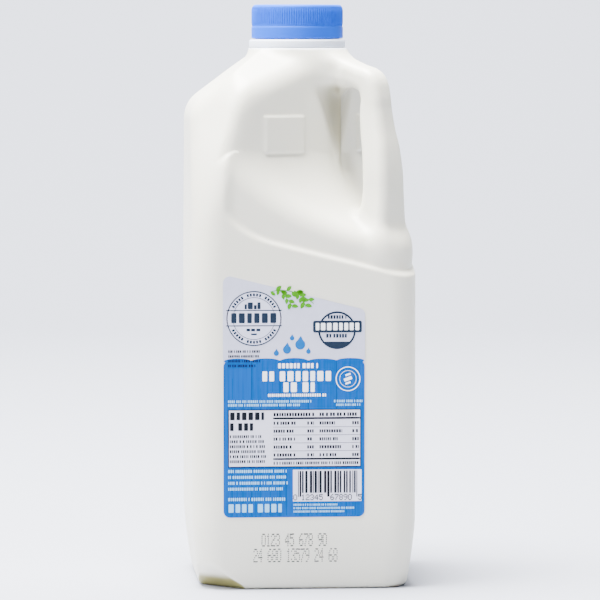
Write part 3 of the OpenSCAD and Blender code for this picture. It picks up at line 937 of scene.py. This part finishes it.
class JUG_OT_label_art(bpy.types.Operator):
    """Prints the plain emblems: round badge, dark seal, sprig, drops and the small round mark"""
    bl_idname = "jug.label_art"
    bl_label = "Label emblems"

    def execute(self, context):
        m, finish = in_mm(context.scene.jug_label), context.scene.jug_finish
        y = m.front + 2 * m.ink
        navy = printed_ink("Flexo ink, dark slate", finish.navy)
        white = printed_ink("Flexo ink, white", finish.white, 0.97)
        bx, bz = -22.7, 119.9
        pale = printed_ink("Flexo ink, pale ground", dimmed(finish.paper, 1.12), 0.98)
        plates("badge_ground", [plate([arc(bx, bz, 12.0, 0, 356.25, 95)], m.front + m.ink)], pale)
        rings = [ring_plate(bx, bz, 12.05, 11.55, y), ring_plate(bx, bz, 9.3, 9.05, y)]
        rings += [plate([box_line(bx - 12.2, bz - 3.4, bx + 12.2, bz - 2.95)], y),
                  plate([box_line(bx - 12.2, bz + 3.3, bx + 12.2, bz + 3.75)], y)]
        sx, sz = 13.75, 114.6
        rings += [ring_plate(sx, sz, 8.3, 7.45, y), plate([arc(sx, sz, 7.5, 222, 318, 24)], y),
                  plate([box_line(3.2, 113.6, 24.7, 118.8, 0.8)], y + m.ink)]
        plates("badge_rings", rings, navy)
        plates("badge_band", [plate([box_line(bx - 12.0, bz - 2.95, bx + 12.0, bz + 3.3)], y)], pale)
        rng = random.Random(SEED + 1)
        dark = words(rng, bx - 10.2, bx + 10.4, bz - 2.0, bz + 2.4, y + m.ink, True)
        for radius, start, end in ((10.4, 150, 30), (10.4, 210, 330)):
            for k in range(17):
                a = start + (end - start) * k / 16
                if k % 6 == 5:
                    continue
                dark.append((bx + radius * cos(radians(a)), -y,
                             bz + radius * sin(radians(a)), 0.85, 1.25, a - 90))
        dark += [(bx + dx, -y, bz + dz, w, h, 0) for dx, dz, w, h in (
            (-3.6, 5.2, 1.0, 2.2), (-1.6, 5.6, 2.2, 3.0), (0.6, 5.0, 1.2, 1.9), (2.2, 5.6, 1.4, 3.0),
            (-2.5, -5.0, 1.6, 1.1), (-0.4, -5.0, 1.8, 1.1), (1.9, -5.0, 1.8, 1.1), (0.0, -6.9, 2.6, 0.7))]
        dark += words(rng, 9.7, 17.9, 119.6, 121.2, y, True) + words(rng, 8.9, 18.7, 111.3, 113.0, y, True)
        tree = stamp_tree("Print blocks")
        stamps("badge_marks", dark, tree, navy)
        light = words(rng, 4.3, 23.8, 114.6, 117.8, y + 2 * m.ink, True)
        stamps("seal_marks", light, tree, white)
        drops = [(-8.2, 106.2, 3.6), (-2.4, 108.4, 4.4), (-12.9, 104.6, 2.3), (1.2, 105.3, 2.0),
                 (-6.0, 111.2, 2.0)]
        shapes = [arc(cx, cz, size / 2, -235, 55, 22) + [(cx + 0.06 * size, cz + 0.875 * size)]
                  for cx, cz, size in drops]
        plates("drops", [plate(shapes, y)], printed_ink("Flexo ink, mid blue", finish.drop))
        leaves, stems = [], []
        for (ax, az), (mx, mz), (ex, ez) in (
                ((-15.4, 131.6), (-6.0, 134.2), (3.4, 126.4)), ((-12.0, 132.6), (-8.0, 129.0), (-5.5, 124.4)),
                ((-5.0, 132.0), (-1.5, 130.0), (0.2, 124.6))):
            path = [tuple((1 - u) ** 2 * a + 2 * u * (1 - u) * b + u * u * c
                          for a, b, c in ((ax, mx, ex), (az, mz, ez))) for u in (k / 8 for k in range(9))]
            for k, ((px, pz), (qx, qz)) in enumerate(zip(path, path[1:])):
                heading = degrees(atan2(qz - pz, qx - px))
                stems.append(((px + qx) / 2, -y, (pz + qz) / 2,
                              hypot(qx - px, qz - pz) * 1.1, 0.28, heading))
                way = 1 if k % 2 else -1
                lean = heading + way * rng.uniform(32, 58)
                size = rng.uniform(2.6, 3.4)
                leaves.append((px + cos(radians(lean)) * size * 0.5, -y - m.ink,
                               pz + sin(radians(lean)) * size * 0.5, size, size * 1.35, lean))
        green = printed_ink("Flexo ink, leaf green", finish.leaf, 0.85)
        stamps("sprig_stems", stems, tree, green)
        stamps("sprig_leaves", leaves, leaf_tree(), green, sides=5)
        plates("round_mark", [ring_plate(18.6, 93.2, outer, inner, y + m.ink)
                              for outer, inner in ((5.4, 5.05), (3.7, 3.55))], white)
        return {"FINISHED"}


class JUG_OT_label_text(bpy.types.Operator):
    """Prints the titles, small lines, table and bar strip as plain blocks without letters"""
    bl_idname = "jug.label_text"
    bl_label = "Label print"

    def execute(self, context):
        m, finish = in_mm(context.scene.jug_label), context.scene.jug_finish
        y = m.front + 3 * m.ink
        tree = stamp_tree("Print lines")
        rng = random.Random(SEED + 2)
        white = bpy.data.materials["Flexo ink, white"]
        black = printed_ink("Flexo ink, black", finish.black, 0.9)
        pale = printed_ink("Flexo ink, pale blue", finish.pale, 0.95)
        grounds = [box_line(-34.0, 54.5, 24.2, 79.9, 0.5), box_line(-5.6, 39.3, 24.6, 53.3)]
        ground_ink = printed_ink("Flexo ink, panel white", finish.panel, 0.98)
        plates("label_panels", [plate(grounds, y)], ground_ink)
        lines = words(rng, -12.2, 5.4, 98.0, 100.2, y, True)
        lines += words(rng, -19.2, 11.5, 92.3, 96.7, y, True)
        lines += words(rng, -10.0, 4.1, 87.5, 91.8, y, True)
        lines += words(rng, -16.6, 9.4, 85.5, 86.8, y)
        lines += [(18.6, -y, z, wide, tall, 20)
                  for z, wide, tall in ((93.2, 3.6, 1.4), (91.4, 2.4, 0.8), (95.1, 2.4, 0.8))]
        stamps("label_titles", lines, tree, white)
        small = []
        for k in range(4):
            small += words(rng, -34.0, -17.9 + rng.uniform(-4, 0), 104.9 - 2.1 * k, 106.0 - 2.1 * k, y)
        top = y + m.ink
        small += words(rng, -33.4, -18.2, 75.3, 78.7, top, True)
        small += words(rng, -33.4, -23.0, 70.6, 74.0, top, True)
        for k in range(6):
            small += words(rng, -33.4, rng.uniform(-19.5, -16.8), 67.4 - 2.2 * k, 68.7 - 2.2 * k, top)
        rules = [(4.75, -top, 76.0, 38.3, 0.85, 0), (4.75, -top, 58.1, 38.3, 0.8, 0)]
        for k, z in enumerate((73.9, 70.4, 66.9, 63.4, 59.9)):
            if k:
                rules.append((4.75, -top, z + 1.75, 38.3, 0.16, 0))
            small += words(rng, -14.2, rng.uniform(-6.5, -3.5), z - 0.75, z + 0.65, top, k != 2)
            small += words(rng, 0.6, 3.6, z - 0.75, z + 0.65, top, True)
            small += words(rng, 6.0, rng.uniform(12.5, 16.5), z - 0.75, z + 0.65, top, k != 2)
            small += words(rng, 20.4, 23.4, z - 0.75, z + 0.65, top, True)
        small += words(rng, -14.2, 3.8, 76.9, 78.4, top, True) + words(rng, 6.0, 23.6, 76.9, 78.4, top, True)
        small += words(rng, -14.2, 23.6, 55.6, 56.9, top)
        frame_lines = [(-4.9, -top, 79.75, 58.2, 0.35, 0), (-4.9, -top, 54.65, 58.2, 0.45, 0),
                       (-33.9, -top, 67.2, 0.4, 25.2, 0), (24.1, -top, 67.2, 0.35, 25.2, 0)]
        bars, x = [], -3.4
        while x < 22.4:
            width = rng.choice((0.36, 0.36, 0.72, 1.05))
            low = 41.3 if x < -2.4 or x > 21.6 or 9.0 < x < 10.6 else 43.0
            bars.append((x + width / 2, -top, (52.8 + low) / 2, width, 52.8 - low, 0))
            x += width + rng.choice((0.34, 0.34, 0.68, 1.0))
        for sign, left in (("0", -5.3), ("12345", -1.8), ("67890", 11.0), ("5", 23.2)):
            bars += [(x, -top, z, 0.34, 0.42, 0) for x, z in digit_dots(sign, left, 40.0, 2.2, 1.95, 0.34)]
        for name, rows in (("small_print", small), ("table_rules", rules + frame_lines), ("bar_strip", bars)):
            stamps(name, rows, tree, black, corner=0.1)
        faint = []
        for z, end in ((82.9, 3.2), (81.3, -2.0)):
            faint += words(rng, -34.1, end, z, z + 1.1, y)
        faint += words(rng, 12.4, 25.0, 82.9, 84.0, y) + words(rng, 13.4, 24.0, 81.3, 82.3, y)
        for k in range(4):
            faint += words(rng, -34.1, rng.uniform(-11, -7.4), 52.1 - 2.6 * k, 53.4 - 2.6 * k, y)
        faint += words(rng, -34.1, -9.0, 39.7, 41.1, y) + words(rng, -34.1, -10.4, 34.6, 38.3, y, True)
        for k, end in enumerate((14.0, 21.6, 17.0)):
            faint += words(rng, -5.4, end, 37.4 - 1.5 * k, 38.3 - 1.5 * k, y)
        stamps("pale_print", faint, tree, pale, corner=0.1)
        return {"FINISHED"}


class JUG_OT_date_code(bpy.types.Operator):
    """Sprays a two-line code of plain numbers in dots below the label"""
    bl_idname = "jug.date_code"
    bl_label = "Date code"

    def execute(self, context):
        m, j = in_mm(context.scene.jug_label), in_mm(context.scene.jug_sizes)
        rng = random.Random(SEED + 3)
        rows = []
        for text, left, low, tall in (("0123 45 678 90", -19.2, 19.7, 5.1),
                                      ("24 680 13579 24 68", -22.7, 12.6, 5.5)):
            for x, z in digit_dots(text, left, low, tall, m.pitch, 0.37):
                x, z = x + rng.uniform(-0.03, 0.03), z + rng.uniform(-0.05, 0.05)
                wall = j.body_w / 2 - j.taper_in * max(0.0, (j.taper_z - z) / j.taper_z) ** 1.4
                rows.append((x, -wall - 0.01, z, m.dot * 0.72, m.dot, 0))
        ink = printed_ink("Sprayed ink, grey", context.scene.jug_finish.code, 0.85)
        stamps("date_code", rows, stamp_tree("Code dots", True), ink, "jug", sides=7)
        return {"FINISHED"}


# ---------------------------------------------------------------- the stage

def area_light(name, place, target, wide, tall, power):
    data = bpy.data.lights.new(name, "AREA")
    data.shape, data.size, data.size_y, data.energy = "RECTANGLE", wide, tall, power
    lamp = bpy.data.objects.new(name, data)
    bpy.context.scene.collection.objects.link(lamp)
    lamp.location = place
    lamp.rotation_euler = (Vector(target) - Vector(place)).to_track_quat("-Z", "Y").to_euler()
    return lamp


class JUG_OT_stage(bpy.types.Operator):
    """Sets the pale sweep, the soft lights and the camera"""
    bl_idname = "jug.stage"
    bl_label = "Stage"

    def execute(self, context):
        stage = context.scene.jug_stage
        wide, start, rise, radius = 4000, 1500, 3200, 900
        profile = [(-6000, 0.0), (start, 0.0)] + arc(start, radius, radius, -90, 0, 24)
        profile.append((start + radius, rise))
        verts = [(x, y, z) for y, z in profile for x in (-wide, wide)]
        faces = [(2 * k, 2 * k + 1, 2 * k + 3, 2 * k + 2) for k in range(len(profile) - 1)]
        sweep = new_object("sweep", verts, faces)
        material, tree, shader, where = new_material(
            "Matt backdrop paper", Roughness=0.9, IOR=1.45, Specular_IOR_Level=0.2)
        tree.links.new(clouded(tree, where, 500, dimmed(stage.backdrop, 0.99), stage.backdrop, 0.2),
                       shader.inputs["Base Color"])
        sweep.data.materials.append(material)

        world = bpy.data.worlds.new("Studio fill")
        world.use_nodes = True
        world.node_tree.nodes["Background"].inputs[0].default_value = (0.82, 0.88, 1.0, 1.0)
        world.node_tree.nodes["Background"].inputs[1].default_value = 0.12
        context.scene.world = world
        area_light("Key, upper left", (-1.05, -0.3, 0.9), (0, 0, 0.14), 0.8, 0.8, 32)
        area_light("Top", (-0.25, -0.05, 1.5), (0, 0, 0.2), 0.8, 0.8, 225)
        area_light("Front fill", (0.1, -1.9, 0.55), (0, 0, 0.17), 0.9, 0.6, 5)
        area_light("Backdrop wash", (0.0, 1.0, 1.9), (0, 2.3, 0.5), 3.0, 0.8, 225)

        side = Vector((cos(stage.azimuth), -sin(stage.azimuth), 0))
        ahead = Vector((sin(stage.azimuth), cos(stage.azimuth), 0))
        place = -ahead * stage.distance + Vector((0, 0, stage.eye))
        target = side * stage.aim + Vector((0, 0, stage.eye - stage.distance * tan(stage.pitch)))
        data = bpy.data.cameras.new("Camera")
        data.lens, data.sensor_width = stage.lens, 36.0
        data.clip_start, data.clip_end = 0.1, 30.0
        camera = bpy.data.objects.new("Camera", data)
        context.scene.collection.objects.link(camera)
        camera.location = place
        camera.rotation_euler = (target - place).to_track_quat("-Z", "Y").to_euler()
        context.scene.camera = camera
        return {"FINISHED"}


class JUG_PT_panel(bpy.types.Panel):
    """Lists the jug's pieces and their sizes"""
    bl_label = "Plastic milk jug"
    bl_idname = "JUG_PT_panel"
    bl_space_type = "VIEW_3D"
    bl_region_type = "UI"
    bl_category = "Jug"

    def draw(self, context):
        for operator in OPERATORS:
            self.layout.operator(operator.bl_idname)
        for key, group in GROUPS.items():
            box = self.layout.box()
            box.label(text=group.__doc__)
            for name in group.__annotations__:
                box.prop(getattr(context.scene, key), name)


OPERATORS = (JUG_OT_shell, JUG_OT_cap, JUG_OT_label_ground, JUG_OT_label_art, JUG_OT_label_text,
             JUG_OT_date_code, JUG_OT_stage)


def register():
    for item in (*GROUPS.values(), *OPERATORS, JUG_PT_panel):
        bpy.utils.register_class(item)
    for key, group in GROUPS.items():
        setattr(bpy.types.Scene, key, bpy.props.PointerProperty(type=group))


def unregister():
    for key in GROUPS:
        delattr(bpy.types.Scene, key)
    for item in (JUG_PT_panel, *reversed(OPERATORS), *reversed(list(GROUPS.values()))):
        bpy.utils.unregister_class(item)


def main():
    register()
    for operator in OPERATORS:
        group, name = operator.bl_idname.split(".")
        getattr(getattr(bpy.ops, group), name)()


if __name__ == "__main__":
    main()
